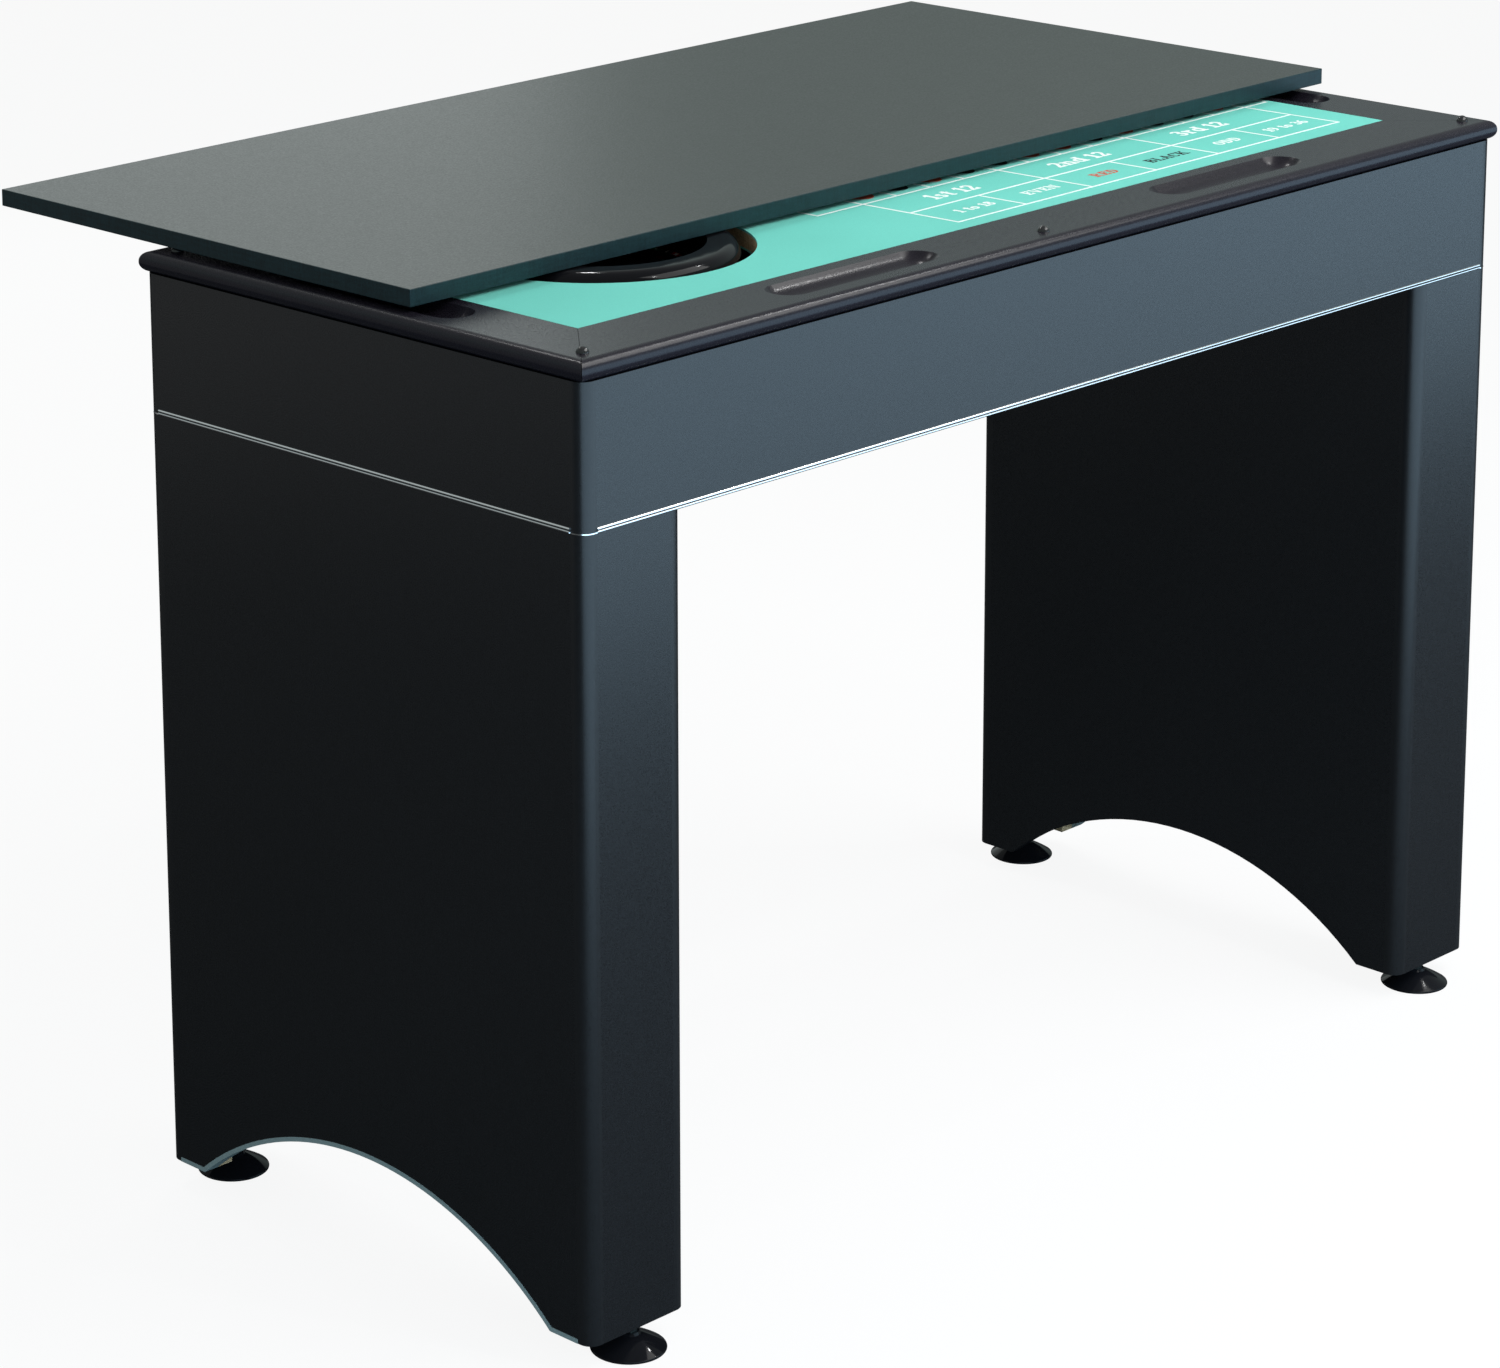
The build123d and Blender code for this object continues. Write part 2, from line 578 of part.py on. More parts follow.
def build_leg_bolts():
    bolts, nuts = [], []
    nut_top = APRON_BOTTOM - TOP_PLATE
    nut_low = nut_top - LEG_NUT_HEIGHT
    for x, y in leg_bolt_places():
        bolt = rod(x, y, (nut_low - LEG_BOLT_PAST_NUT, PANEL_TOP), LEG_BOLT_RADIUS)
        bolt += hexagon(x, y, (PANEL_TOP, PANEL_TOP + LEG_BOLT_HEAD), LEG_BOLT_HEX)
        bolts.append(bolt)
        nut = hexagon(x, y, (nut_low, nut_top), LEG_BOLT_HEX)
        nuts.append(nut - rod(x, y, (nut_low - 1, nut_top + 1), LEG_BOLT_RADIUS))
    save("leg_bolts", *bolts)
    save("leg_nuts", *nuts)


# ---- feet ----
def build_foot_blocks():
    """Raw timber blocks glued into the outer corners at the floor end, and the threaded inserts."""
    inner_y = HALF_Y - LEG_BOARD
    blocks = [
        block(
            (x * (INNER_X - FOOT_BLOCK_WIDTH), x * INNER_X),
            (y * ARCH_HALF_SPAN, y * inner_y),
            (LEG_BOTTOM, LEG_BOTTOM + FOOT_BLOCK_HEIGHT),
        )
        for x, y in CORNERS
    ]
    save("foot_blocks", *blocks)
    level = (LEG_BOTTOM, LEG_BOTTOM + INSERT_LENGTH)
    inserts = [
        rod(x * FOOT_X, y * FOOT_Y, level, INSERT_RADIUS)
        - rod(x * FOOT_X, y * FOOT_Y, (0, RAIL_TOP), STEM_RADIUS + RUNNING_GAP)
        for x, y in CORNERS
    ]
    save("foot_inserts", *inserts)


def foot_pad(x, y):
    """Domed foot: a flat rim, a concave rise to the hub, and a socket for the stem's end."""
    rim, hub = PAD_RADIUS, PAD_HUB_RADIUS
    flat = rim - PAD_EDGE
    shoulder = PAD_HEIGHT - PAD_SHOULDER_DROP
    hub_top = hub - PAD_HUB_CHAMFER
    slope = (rim - PAD_SLOPE_IN, 0, PAD_RIM + PAD_SLOPE_RISE)
    outline = [
        Line((0, 0, 0), (flat, 0, 0)),
        ThreePointArc((flat, 0, 0), (rim, 0, PAD_RIM / 2), (flat, 0, PAD_RIM)),
        ThreePointArc((flat, 0, PAD_RIM), slope, (hub, 0, shoulder)),
        Line((hub, 0, shoulder), (hub_top, 0, PAD_HEIGHT)),
        Line((hub_top, 0, PAD_HEIGHT), (SOCKET_RADIUS, 0, PAD_HEIGHT)),
        Line((SOCKET_RADIUS, 0, PAD_HEIGHT), (SOCKET_RADIUS, 0, SOCKET_FLOOR)),
        Line((SOCKET_RADIUS, 0, SOCKET_FLOOR), (0, 0, SOCKET_FLOOR)),
        Line((0, 0, SOCKET_FLOOR), (0, 0, 0)),
    ]
    return Pos(x, y, 0) * revolve(make_face(Wire(outline)), Axis.Z)


def foot_stem(x, y):
    """Levelling screw: a plain end that turns in the pad, a hexagon for the spanner, the shank."""
    plain = SOCKET_RADIUS - RUNNING_GAP
    hex_low = PAD_HEIGHT + RUNNING_GAP
    hex_top = LEG_BOTTOM - RUNNING_GAP
    stem = rod(x, y, (SOCKET_FLOOR + RUNNING_GAP, hex_low), plain)
    stem += hexagon(x, y, (hex_low, hex_top), STEM_HEX)
    return stem + rod(x, y, (hex_top, STEM_SHANK_END), STEM_RADIUS)


def build_feet():
    for x, word_x in ((-1, "left"), (1, "right")):
        for y, word_y in ((-1, "front"), (1, "back")):
            name = word_y + "_" + word_x
            save("foot_pad_" + name, foot_pad(x * FOOT_X, y * FOOT_Y))
            save("foot_stem_" + name, foot_stem(x * FOOT_X, y * FOOT_Y))


# ---- dining top ----
def build_dining_top():
    middle = (TOP_UNDERSIDE + TOP_THICK / 2)
    core = Pos(TOP_X, TOP_Y, middle) * Box(
        TOP_LENGTH - 2 * TOP_EDGING, TOP_DEPTH - 2 * TOP_EDGING, TOP_THICK
    )
    whole = Pos(TOP_X, TOP_Y, middle) * Box(TOP_LENGTH, TOP_DEPTH, TOP_THICK)
    whole = fillet(whole.edges(), EDGE_EASE)
    save("dining_top_board", core)
    save("dining_top_edging", whole - core)


def main():
    os.makedirs("parts", exist_ok=True)
    build_rails()
    build_bumpers()
    build_aprons()
    build_trim()
    build_bottom_panel()
    build_cleats()
    build_playing_board()
    build_wheel_shelf()
    build_wheel()
    build_leg("left", -1)
    build_leg("right", 1)
    build_leg_bolts()
    build_foot_blocks()
    build_feet()
    build_dining_top()


main()
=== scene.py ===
"""Looks of a multi-game casino table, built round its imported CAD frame. Blender 4.5, metres.

The CAD nodes stay as they are and get procedural materials. The printed roulette layout and the
wheel's coloured pockets and numerals are added here as thin closed meshes.
"""
import json
import math

import bmesh
import bpy
from mathutils import Matrix, Vector
from mathutils.geometry import delaunay_2d_cdt


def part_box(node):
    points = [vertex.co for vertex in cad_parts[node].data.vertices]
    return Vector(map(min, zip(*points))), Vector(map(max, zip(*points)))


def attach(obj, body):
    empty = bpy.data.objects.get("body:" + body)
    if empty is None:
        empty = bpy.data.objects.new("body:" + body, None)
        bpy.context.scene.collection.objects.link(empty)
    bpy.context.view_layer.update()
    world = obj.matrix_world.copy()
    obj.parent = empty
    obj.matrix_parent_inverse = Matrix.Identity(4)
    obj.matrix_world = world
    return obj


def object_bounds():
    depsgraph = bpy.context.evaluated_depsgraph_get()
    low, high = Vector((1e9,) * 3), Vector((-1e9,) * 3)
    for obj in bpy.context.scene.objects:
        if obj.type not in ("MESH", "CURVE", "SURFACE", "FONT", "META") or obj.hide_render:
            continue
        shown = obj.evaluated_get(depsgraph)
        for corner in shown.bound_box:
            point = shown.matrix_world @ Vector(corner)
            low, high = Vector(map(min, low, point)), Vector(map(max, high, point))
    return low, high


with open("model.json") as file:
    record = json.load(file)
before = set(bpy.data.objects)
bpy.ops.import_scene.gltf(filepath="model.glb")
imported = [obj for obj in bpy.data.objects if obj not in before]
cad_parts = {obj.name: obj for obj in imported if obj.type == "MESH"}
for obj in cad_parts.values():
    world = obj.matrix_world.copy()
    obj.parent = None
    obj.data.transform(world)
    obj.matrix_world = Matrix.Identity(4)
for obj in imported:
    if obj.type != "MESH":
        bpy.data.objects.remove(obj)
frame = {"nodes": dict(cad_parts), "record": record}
cad_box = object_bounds()
nodes = frame["nodes"]
MM = 0.001
NAP = 1500  # scale of the cloth's nap


# ---------------------------------------------------------------- materials
class Finish:
    """A procedural material under construction. Lengths in its patterns are object metres."""

    def __init__(self, name, roughness, metallic=0.0, specular=0.5):
        self.name = name
        self.material = bpy.data.materials.new(name)
        self.material.use_nodes = True
        self.tree = self.material.node_tree
        self.shader = self.tree.nodes["Principled BSDF"]
        self.shader.inputs["Roughness"].default_value = roughness
        self.shader.inputs["Metallic"].default_value = metallic
        self.shader.inputs["Specular IOR Level"].default_value = specular
        self.place = self.add("ShaderNodeTexCoord").outputs["Object"]

    def add(self, kind, inputs=None, **settings):
        node = self.tree.nodes.new(kind)
        for key, value in settings.items():
            setattr(node, key, value)
        for key, value in (inputs or {}).items():
            self.feed(node.inputs[key], value)
        return node

    def feed(self, socket, value):
        if isinstance(value, bpy.types.NodeSocket):
            self.tree.links.new(value, socket)
        else:
            socket.default_value = value

    def stretched(self, scale):
        """Object coordinates, squeezed along each axis by its own factor."""
        return self.add("ShaderNodeMapping", {"Vector": self.place, "Scale": scale}).outputs[0]

    def noise(self, scale, detail=2.0, place=None):
        settings = {"Vector": place or self.place, "Scale": scale, "Detail": detail}
        return self.add("ShaderNodeTexNoise", settings).outputs["Fac"]

    def cells(self, scale):
        settings = {"Vector": self.place, "Scale": scale}
        return self.add("ShaderNodeTexVoronoi", settings, feature="SMOOTH_F1").outputs["Distance"]

    def spread(self, value, low, high, out_low=0.0, out_high=1.0):
        settings = {"Value": value, "From Min": low, "From Max": high,
                    "To Min": out_low, "To Max": out_high}
        return self.add("ShaderNodeMapRange", settings).outputs[0]

    def maths(self, operation, first, second):
        node = self.add("ShaderNodeMath", operation=operation)
        self.feed(node.inputs[0], first)
        self.feed(node.inputs[1], second)
        return node.outputs[0]

    def blend(self, factor, first, second):
        node = self.add("ShaderNodeMix", data_type="RGBA")
        self.feed(node.inputs["Factor"], factor)
        self.feed(node.inputs[6], colour(first))
        self.feed(node.inputs[7], colour(second))
        return node.outputs[2]

    def paint(self, value):
        self.feed(self.shader.inputs["Base Color"], colour(value))

    def rough(self, value):
        self.feed(self.shader.inputs["Roughness"], value)

    def bump(self, height, distance, strength=1.0):
        settings = {"Height": height, "Distance": distance, "Strength": strength}
        normal = self.add("ShaderNodeBump", settings).outputs[0]
        self.feed(self.shader.inputs["Normal"], normal)


def colour(value):
    """Linear red, green and blue as a socket value; sockets pass through."""
    if isinstance(value, bpy.types.NodeSocket):
        return value
    return (*value, 1.0)


def shade(value, factor):
    return tuple(channel * factor for channel in value)


def grained(name, base, roughness, specular, grain, depth, mottle=0.25):
    """Foil-wrapped board: a fine pebble, a faint linen and a slow drift of tone."""
    finish = Finish(name, roughness, specular=specular)
    slow = finish.noise(3.0, 3.0)
    across = finish.noise(grain * 0.6, 1.0, finish.stretched((1.0, 1.0, 0.12)))
    along = finish.noise(grain * 0.6, 1.0, finish.stretched((0.12, 0.12, 1.0)))
    linen = finish.maths("ADD", across, along)
    speck = finish.noise(grain, 2.0)
    tone = finish.maths("ADD", finish.maths("MULTIPLY", linen, 0.5), speck)
    tone = finish.maths("ADD", tone, finish.maths("MULTIPLY", slow, 0.35))
    finish.paint(finish.blend(finish.spread(tone, 0.85, 1.5),
                              shade(base, 1 - mottle), shade(base, 1 + mottle)))
    finish.rough(finish.spread(speck, 0.3, 0.7, roughness - 0.06, roughness + 0.06))
    pebble = finish.maths("ADD", finish.cells(grain * 0.8), finish.maths("MULTIPLY", speck, 0.5))
    finish.bump(pebble, depth)
    return finish


def black_boards():
    """The foil-wrapped boards and mouldings."""
    panel = (0.009, 0.0095, 0.011)
    return (
        grained("panel_laminate", panel, 0.28, 0.50, 1100, 0.000018),
        grained("corner_moulding", panel, 0.33, 0.52, 1100, 0.000015),
        grained("rail_laminate", (0.012, 0.0105, 0.016), 0.26, 0.23, 1100, 0.00002),
        grained("top_laminate", (0.026, 0.031, 0.030), 0.34, 0.50, 700, 0.00010, 0.15),
        grained("top_edging", (0.006, 0.022, 0.026), 0.40, 0.28, 700, 0.00005, 0.5),
    )


def raw_board():
    board = Finish("raw_board", 0.85, specular=0.2)
    fibre = board.noise(260, 3.0, board.stretched((1.0, 1.0, 3.0)))
    board.paint(board.blend(board.spread(fibre, 0.35, 0.68), (0.40, 0.27, 0.15), (0.62, 0.46, 0.28)))
    board.bump(fibre, 0.0003)
    return board


def green_felt():
    felt = Finish("green_felt", 0.9, specular=0.15)
    nap = felt.noise(NAP, 3.0)
    slow = felt.noise(6.0, 2.0)
    tone = felt.maths("ADD", felt.maths("MULTIPLY", nap, 0.6), felt.maths("MULTIPLY", slow, 0.4))
    felt.paint(felt.blend(felt.spread(tone, 0.35, 0.65), (0.112, 0.530, 0.450), (0.138, 0.615, 0.528)))
    felt.bump(nap, 0.00015)
    felt.shader.inputs["Sheen Weight"].default_value = 0.15
    return felt


def chrome_trim():
    """Bright metal, with painted shade along the groove between its two ridges."""
    chrome = Finish("chrome_trim", 0.10, metallic=1.0)
    smear = chrome.noise(40, 3.0, chrome.stretched((0.2, 0.2, 4.0)))
    bright = chrome.blend(smear, (0.80, 0.82, 0.84), (0.93, 0.94, 0.95))
    low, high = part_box("trim_front")
    height = chrome.add("ShaderNodeSeparateXYZ", {"Vector": chrome.place}).outputs["Z"]
    off_middle = chrome.maths("SUBTRACT", height, (low.z + high.z) / 2)
    # painted shade: a dark band along the middle height, where the groove between the ridges is shaded
    groove_shade = chrome.spread(chrome.maths("ABSOLUTE", off_middle, 0.0), 0.0003, 0.0009)
    chrome.paint(chrome.blend(groove_shade, (0.16, 0.18, 0.20), bright))
    chrome.rough(chrome.spread(smear, 0.3, 0.7, 0.07, 0.18))
    return chrome


def grey_edge_band():
    band = Finish("grey_edge_band", 0.45, specular=0.4)
    fleck = band.noise(500, 2.0)
    band.paint(band.blend(fleck, (0.22, 0.30, 0.31), (0.34, 0.43, 0.44)))
    band.bump(fleck, 0.0001)
    return band


def black_rubber():
    rubber = Finish("black_rubber", 0.16, specular=0.5)
    dust = rubber.noise(900, 3.0)
    rubber.paint(rubber.blend(dust, (0.010, 0.010, 0.011), (0.022, 0.022, 0.023)))
    rubber.bump(dust, 0.00003)
    return rubber


def zinc_steel():
    zinc = Finish("zinc_steel", 0.28, metallic=1.0)
    spangle = zinc.cells(700)
    zinc.paint(zinc.blend(spangle, (0.62, 0.63, 0.62), (0.78, 0.79, 0.80)))
    zinc.rough(zinc.spread(spangle, 0.0, 0.6, 0.22, 0.38))
    zinc.bump(spangle, 0.00002)
    return zinc


def black_steel():
    black = Finish("black_steel", 0.34, metallic=1.0)
    mill = black.noise(420, 2.0, black.stretched((1.0, 1.0, 0.2)))
    black.paint(black.blend(mill, (0.05, 0.062, 0.062), (0.12, 0.14, 0.14)))
    black.rough(black.spread(mill, 0.3, 0.7, 0.28, 0.42))
    return black


def black_gloss_plastic():
    gloss = Finish("black_gloss_plastic", 0.09)
    gloss.shader.inputs["IOR"].default_value = 1.2
    ripple = gloss.noise(45, 2.0)
    haze = gloss.noise(9.0, 3.0)
    gloss.paint(gloss.blend(haze, (0.004, 0.004, 0.005), (0.008, 0.008, 0.010)))
    gloss.rough(gloss.spread(haze, 0.3, 0.7, 0.06, 0.14))
    gloss.bump(ripple, 0.0001)
    return gloss


def wheel_chrome():
    bright = Finish("wheel_chrome", 0.08, metallic=1.0)
    polish = bright.noise(220, 2.0, bright.stretched((1.0, 1.0, 8.0)))
    bright.paint(bright.blend(polish, (0.74, 0.75, 0.76), (0.88, 0.89, 0.90)))
    bright.rough(bright.spread(polish, 0.3, 0.7, 0.05, 0.14))
    return bright


def bronze_bush():
    bronze = Finish("bronze_bush", 0.35, metallic=1.0)
    grit = bronze.noise(1200, 3.0)
    bronze.paint(bronze.blend(grit, (0.36, 0.21, 0.08), (0.56, 0.36, 0.16)))
    bronze.bump(grit, 0.00002)
    return bronze


def make_finishes():
    """One material for each of the record's material slots, by its name."""
    made = black_boards() + (
        raw_board(), green_felt(), chrome_trim(), grey_edge_band(), black_rubber(), zinc_steel(),
        black_steel(), black_gloss_plastic(), wheel_chrome(), bronze_bush(),
    )
    return {finish.name: finish for finish in made}


def ink(name, base, roughness=0.8):
    """Screen-printed ink with a little of the cloth's nap showing through."""
    finish = Finish(name, roughness, specular=0.2)
    nap = finish.noise(NAP, 3.0)
    finish.paint(finish.blend(finish.spread(nap, 0.3, 0.7), shade(base, 0.86), shade(base, 1.06)))
    finish.bump(nap, 0.0001)
    return finish


def enamel(name, base):
    """Glossy printed plastic of the wheel's pockets."""
    finish = Finish(name, 0.22, specular=0.5)
    cloud = finish.noise(60, 3.0)
    finish.paint(finish.blend(cloud, shade(base, 0.8), shade(base, 1.15)))
    finish.rough(finish.spread(cloud, 0.3, 0.7, 0.17, 0.3))
    return finish


finishes = make_finishes()
WHITE_INK = ink("white_ink", (0.86, 0.92, 0.90))
RED_INK = ink("red_ink", (0.62, 0.10, 0.06))
BLACK_INK = ink("black_ink", (0.020, 0.024, 0.024))
RED_ENAMEL = enamel("red_enamel", (0.42, 0.012, 0.010))
BLACK_ENAMEL = enamel("black_enamel", (0.010, 0.010, 0.011))
GREEN_ENAMEL = enamel("green_enamel", (0.008, 0.20, 0.06))
WHITE_ENAMEL = enamel("white_enamel", (0.78, 0.78, 0.76))


def dress_nodes():
    """Gives every CAD node the finish of its material slot."""
    for part in frame["record"]["subparts"]:
        mesh = nodes[part["node"]].data
        mesh.materials.clear()
        mesh.materials.append(finishes[part["material_slot"]].material)


dress_nodes()


# ---------------------------------------------------------------- flat shapes
def inside(polygon, x, y):
    """Whether a point is within a polygon, by the edges crossed on the way out."""
    crossed = False
    for (x0, y0), (x1, y1) in zip(polygon, polygon[1:] + polygon[:1]):
        if (y0 > y) != (y1 > y) and x < x0 + (y - y0) * (x1 - x0) / (y1 - y0):
            crossed = not crossed
    return crossed


def flat_union(polygons):
    """The union of overlapping flat polygons, as points and triangles."""
    points, faces, reach = [], [], []
    for polygon in polygons:
        start = len(points)
        points += [Vector(point) for point in polygon]
        faces.append(list(range(start, len(points))))
        across, up = zip(*polygon)
        reach.append((min(across), max(across), min(up), max(up), polygon))
    found = delaunay_2d_cdt(points, [], faces, 0, 1e-6)
    corners, kept = found[0], []
    for triangle in found[2]:
        x, y = (sum(corners[i][k] for i in triangle) / 3 for k in (0, 1))
        if any(x0 < x < x1 and y0 < y < y1 and inside(polygon, x, y) for x0, x1, y0, y1, polygon in reach):
            kept.append(triangle)
    return corners, kept


def slab(name, polygons, place, low, high, finish, body):
    """A thin closed solid over the union of polygons. place(x, y, z) puts a point in the row frame."""
    corners, triangles = flat_union(polygons)
    shape = bmesh.new()
    under = [shape.verts.new(place(x, y, low)) for x, y in corners]
    over = [shape.verts.new(place(x, y, high)) for x, y in corners]
    edges = set()
    for triangle in triangles:
        shape.faces.new([over[i] for i in triangle])
        shape.faces.new([under[i] for i in reversed(triangle)])
        edges |= {(a, b) for a, b in zip(triangle, triangle[1:] + triangle[:1])}
    for a, b in sorted(edges):
        if (b, a) not in edges:
            shape.faces.new([under[a], under[b], over[b], over[a]])
    loose = [vert for vert in shape.verts if not vert.link_faces]
    bmesh.ops.delete(shape, geom=loose, context="VERTS")
    bmesh.ops.recalc_face_normals(shape, faces=shape.faces)
    mesh = bpy.data.meshes.new(name)
    shape.to_mesh(mesh)
    shape.free()
    mesh.materials.append(finish.material)
    piece = bpy.data.objects.new(name, mesh)
    bpy.context.scene.collection.objects.link(piece)
    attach(piece, body)
    return piece


def box_outline(x_range, y_range):
    (x0, x1), (y0, y1) = x_range, y_range
    return [(x0, y0), (x1, y0), (x1, y1), (x0, y1)]


# ---------------------------------------------------------------- slab-serif lettering
# Glyphs are drawn on a capital height of 1, from thick stems, thin bars and elliptical bowls.
STEM = 0.23
HAIR = 0.13
SERIF = 0.07
BOWL_STEPS = 20


def stem(x, y0=0.0, y1=1.0, foot=True, head=True):
    parts = [box_outline((x, x + STEM), (y0, y1))]
    if foot:
        parts.append(box_outline((x - SERIF, x + STEM + SERIF), (y0, y0 + HAIR)))
    if head:
        parts.append(box_outline((x - SERIF, x + STEM + SERIF), (y1 - HAIR, y1)))
    return parts


def bar(x0, x1, y, thick=HAIR):
    return [box_outline((x0, x1), (y, y + thick))]


def tick(x, y0, y1):
    """A short upright serif at the end of a bar."""
    return [box_outline((x - HAIR, x), (y0, y1))]


def slant(x0, y0, x1, y1, wide=STEM):
    """A leaning stroke, wide across."""
    return [[(x0, y0), (x0 + wide, y0), (x1 + wide, y1), (x1, y1)]]


def bowl(cx, cy, rx, ry, start=0, end=360, thick=STEM, thin=HAIR):
    """Part of an elliptical ring, thick at its sides and thin at its top and bottom."""
    steps = max(4, round(BOWL_STEPS * abs(end - start) / 360))
    parts = []
    for step in range(steps):
        a, b = (math.radians(start + (end - start) * (step + k) / steps) for k in (0, 1))
        outer = [(cx + rx * math.cos(t), cy + ry * math.sin(t)) for t in (a, b)]
        inner = [(cx + (rx - thick) * math.cos(t), cy + (ry - thin) * math.sin(t)) for t in (b, a)]
        parts.append(outer + inner)
    return parts


def glyph(character):
    """Width and strokes of one character."""
    top, low = 1.0 - HAIR, HAIR
    if character == "0":
        return 0.70, bowl(0.35, 0.5, 0.35, 0.5)
    if character == "1":
        return 0.48, stem(0.16, head=False) + slant(0.0, 0.72, 0.16, 1.0, 0.14) + bar(0.02, 0.5, 0.0)
    if character == "2":
        return 0.66, (bowl(0.33, 0.69, 0.31, 0.31, -35, 170) + bar(0.03, 0.64, 0.0, 0.16)
                      + slant(0.03, 0.1, 0.36, 0.56, 0.22) + tick(0.64, 0.0, 0.30))
    if character == "3":
        return 0.66, (bowl(0.31, 0.75, 0.29, 0.25, -90, 165) + bowl(0.32, 0.30, 0.33, 0.30, -165, 90)
                      + bar(0.22, 0.34, 0.48))
    if character == "4":
        return 0.72, (stem(0.40, head=False) + bar(0.0, 0.72, 0.24, 0.13)
                      + slant(0.0, 0.28, 0.40, 1.0, 0.16))
    if character == "5":
        return 0.66, (bar(0.10, 0.60, 0.84, 0.16) + [box_outline((0.10, 0.21), (0.48, 1.0))]
                      + bowl(0.32, 0.32, 0.33, 0.32, -165, 125))
    if character == "6":
        return 0.70, bowl(0.36, 0.31, 0.34, 0.31) + bowl(0.44, 0.5, 0.43, 0.5, 75, 205)
    if character == "7":
        return 0.66, (bar(0.02, 0.66, 0.84, 0.16) + slant(0.18, 0.0, 0.45, 0.9)
                      + [box_outline((0.02, 0.12), (0.68, 1.0))])
    if character == "8":
        return 0.68, bowl(0.34, 0.76, 0.28, 0.24) + bowl(0.34, 0.28, 0.33, 0.28)
    if character == "9":
        return 0.70, bowl(0.34, 0.69, 0.34, 0.31) + bowl(0.26, 0.5, 0.43, 0.5, -105, 25)
    if character == "E":
        return 0.78, (stem(0.10) + bar(0.1, 0.70, 0.0) + bar(0.1, 0.70, top) + bar(0.1, 0.52, 0.445)
                      + tick(0.72, 0.0, 0.30) + tick(0.72, 0.70, 1.0) + tick(0.56, 0.34, 0.66))
    if character == "V":
        return 0.92, (slant(0.36, 0.0, 0.05, 1.0) + slant(0.42, 0.0, 0.74, 1.0, 0.12)
                      + bar(0.0, 0.34, top) + bar(0.62, 0.94, top))
    if character == "N":
        return 0.96, ([box_outline((0.10, 0.22), (0.0, 1.0)), box_outline((0.74, 0.86), (0.0, 1.0))]
                      + slant(0.66, 0.0, 0.08, 1.0, 0.2) + bar(0.0, 0.32, 0.0) + bar(0.0, 0.24, top)
                      + bar(0.64, 0.96, top))
    if character == "O":
        return 0.86, bowl(0.43, 0.5, 0.43, 0.5)
    if character == "D":
        return 0.88, (stem(0.10) + bar(0.1, 0.40, 0.0) + bar(0.1, 0.40, top)
                      + bowl(0.38, 0.5, 0.48, 0.5, -90, 90))
    if character == "R":
        return 0.90, (stem(0.10) + bar(0.1, 0.46, top) + bar(0.1, 0.46, 0.44)
                      + bowl(0.44, 0.72, 0.34, 0.28, -90, 90) + slant(0.64, 0.0, 0.38, 0.48)
                      + bar(0.66, 0.94, 0.0))
    if character == "B":
        return 0.84, (stem(0.10) + bar(0.1, 0.46, top) + bar(0.1, 0.46, 0.46) + bar(0.1, 0.46, 0.0)
                      + bowl(0.44, 0.76, 0.32, 0.24, -90, 90) + bowl(0.44, 0.285, 0.38, 0.285, -90, 90))
    if character == "L":
        return 0.74, stem(0.10) + bar(0.1, 0.70, 0.0) + tick(0.72, 0.0, 0.36)
    if character == "A":
        return 0.94, (slant(0.08, 0.0, 0.40, 1.0, 0.12) + slant(0.64, 0.0, 0.40, 1.0) + bar(0.2, 0.7, 0.28)
                      + bar(0.0, 0.30, 0.0) + bar(0.56, 0.94, 0.0))
    if character == "C":
        return 0.82, bowl(0.44, 0.5, 0.43, 0.5, 42, 318) + tick(0.80, 0.66, 1.0)
    if character == "K":
        return 0.94, (stem(0.10) + slant(0.26, 0.36, 0.68, 1.0, 0.13) + slant(0.66, 0.0, 0.38, 0.6)
                      + bar(0.58, 0.92, top) + bar(0.56, 0.96, 0.0))
    if character == "s":
        return 0.52, (bowl(0.25, 0.52, 0.22, 0.18, 20, 270, 0.17)
                      + bowl(0.25, 0.22, 0.24, 0.22, -160, 90, 0.17))
    if character == "t":
        return 0.46, (stem(0.12, 0.08, 0.92, False, False) + bar(0.0, 0.44, 0.6)
                      + bowl(0.32, 0.2, 0.2, 0.2, 180, 330))
    if character == "n":
        return 0.80, (stem(0.08, 0.0, 0.7, head=False) + bar(0.0, 0.2, 0.6)
                      + stem(0.50, 0.0, 0.46, head=False) + bowl(0.44, 0.44, 0.26, 0.26, 0, 150))
    if character == "d":
        return 0.74, bowl(0.34, 0.35, 0.33, 0.35) + stem(0.47, 0.0, 1.0, foot=False) + bar(0.5, 0.76, 0.0)
    if character == "r":
        return 0.58, (stem(0.08, 0.0, 0.7, head=False) + bar(0.0, 0.2, 0.6)
                      + bowl(0.42, 0.46, 0.22, 0.24, 30, 165))
    if character == "o":
        return 0.66, bowl(0.33, 0.35, 0.33, 0.35)
    return 0.36, []


def lettering(text, height, turned=False, centre=(0.0, 0.0), spacing=0.08):
    """Strokes of a line of text about its centre. Turned text reads towards +y."""
    strokes, pen = [], 0.0
    for character in text:
        wide, parts = glyph(character)
        strokes += [[(x + pen, y) for x, y in part] for part in parts]
        pen += wide + spacing
    middle = (pen - spacing) / 2
    placed = []
    for part in strokes:
        points = [((x - middle) * height, (y - 0.5) * height) for x, y in part]
        if turned:
            points = [(-y, x) for x, y in points]
        placed.append([(x + centre[0], y + centre[1]) for x, y in points])
    return placed


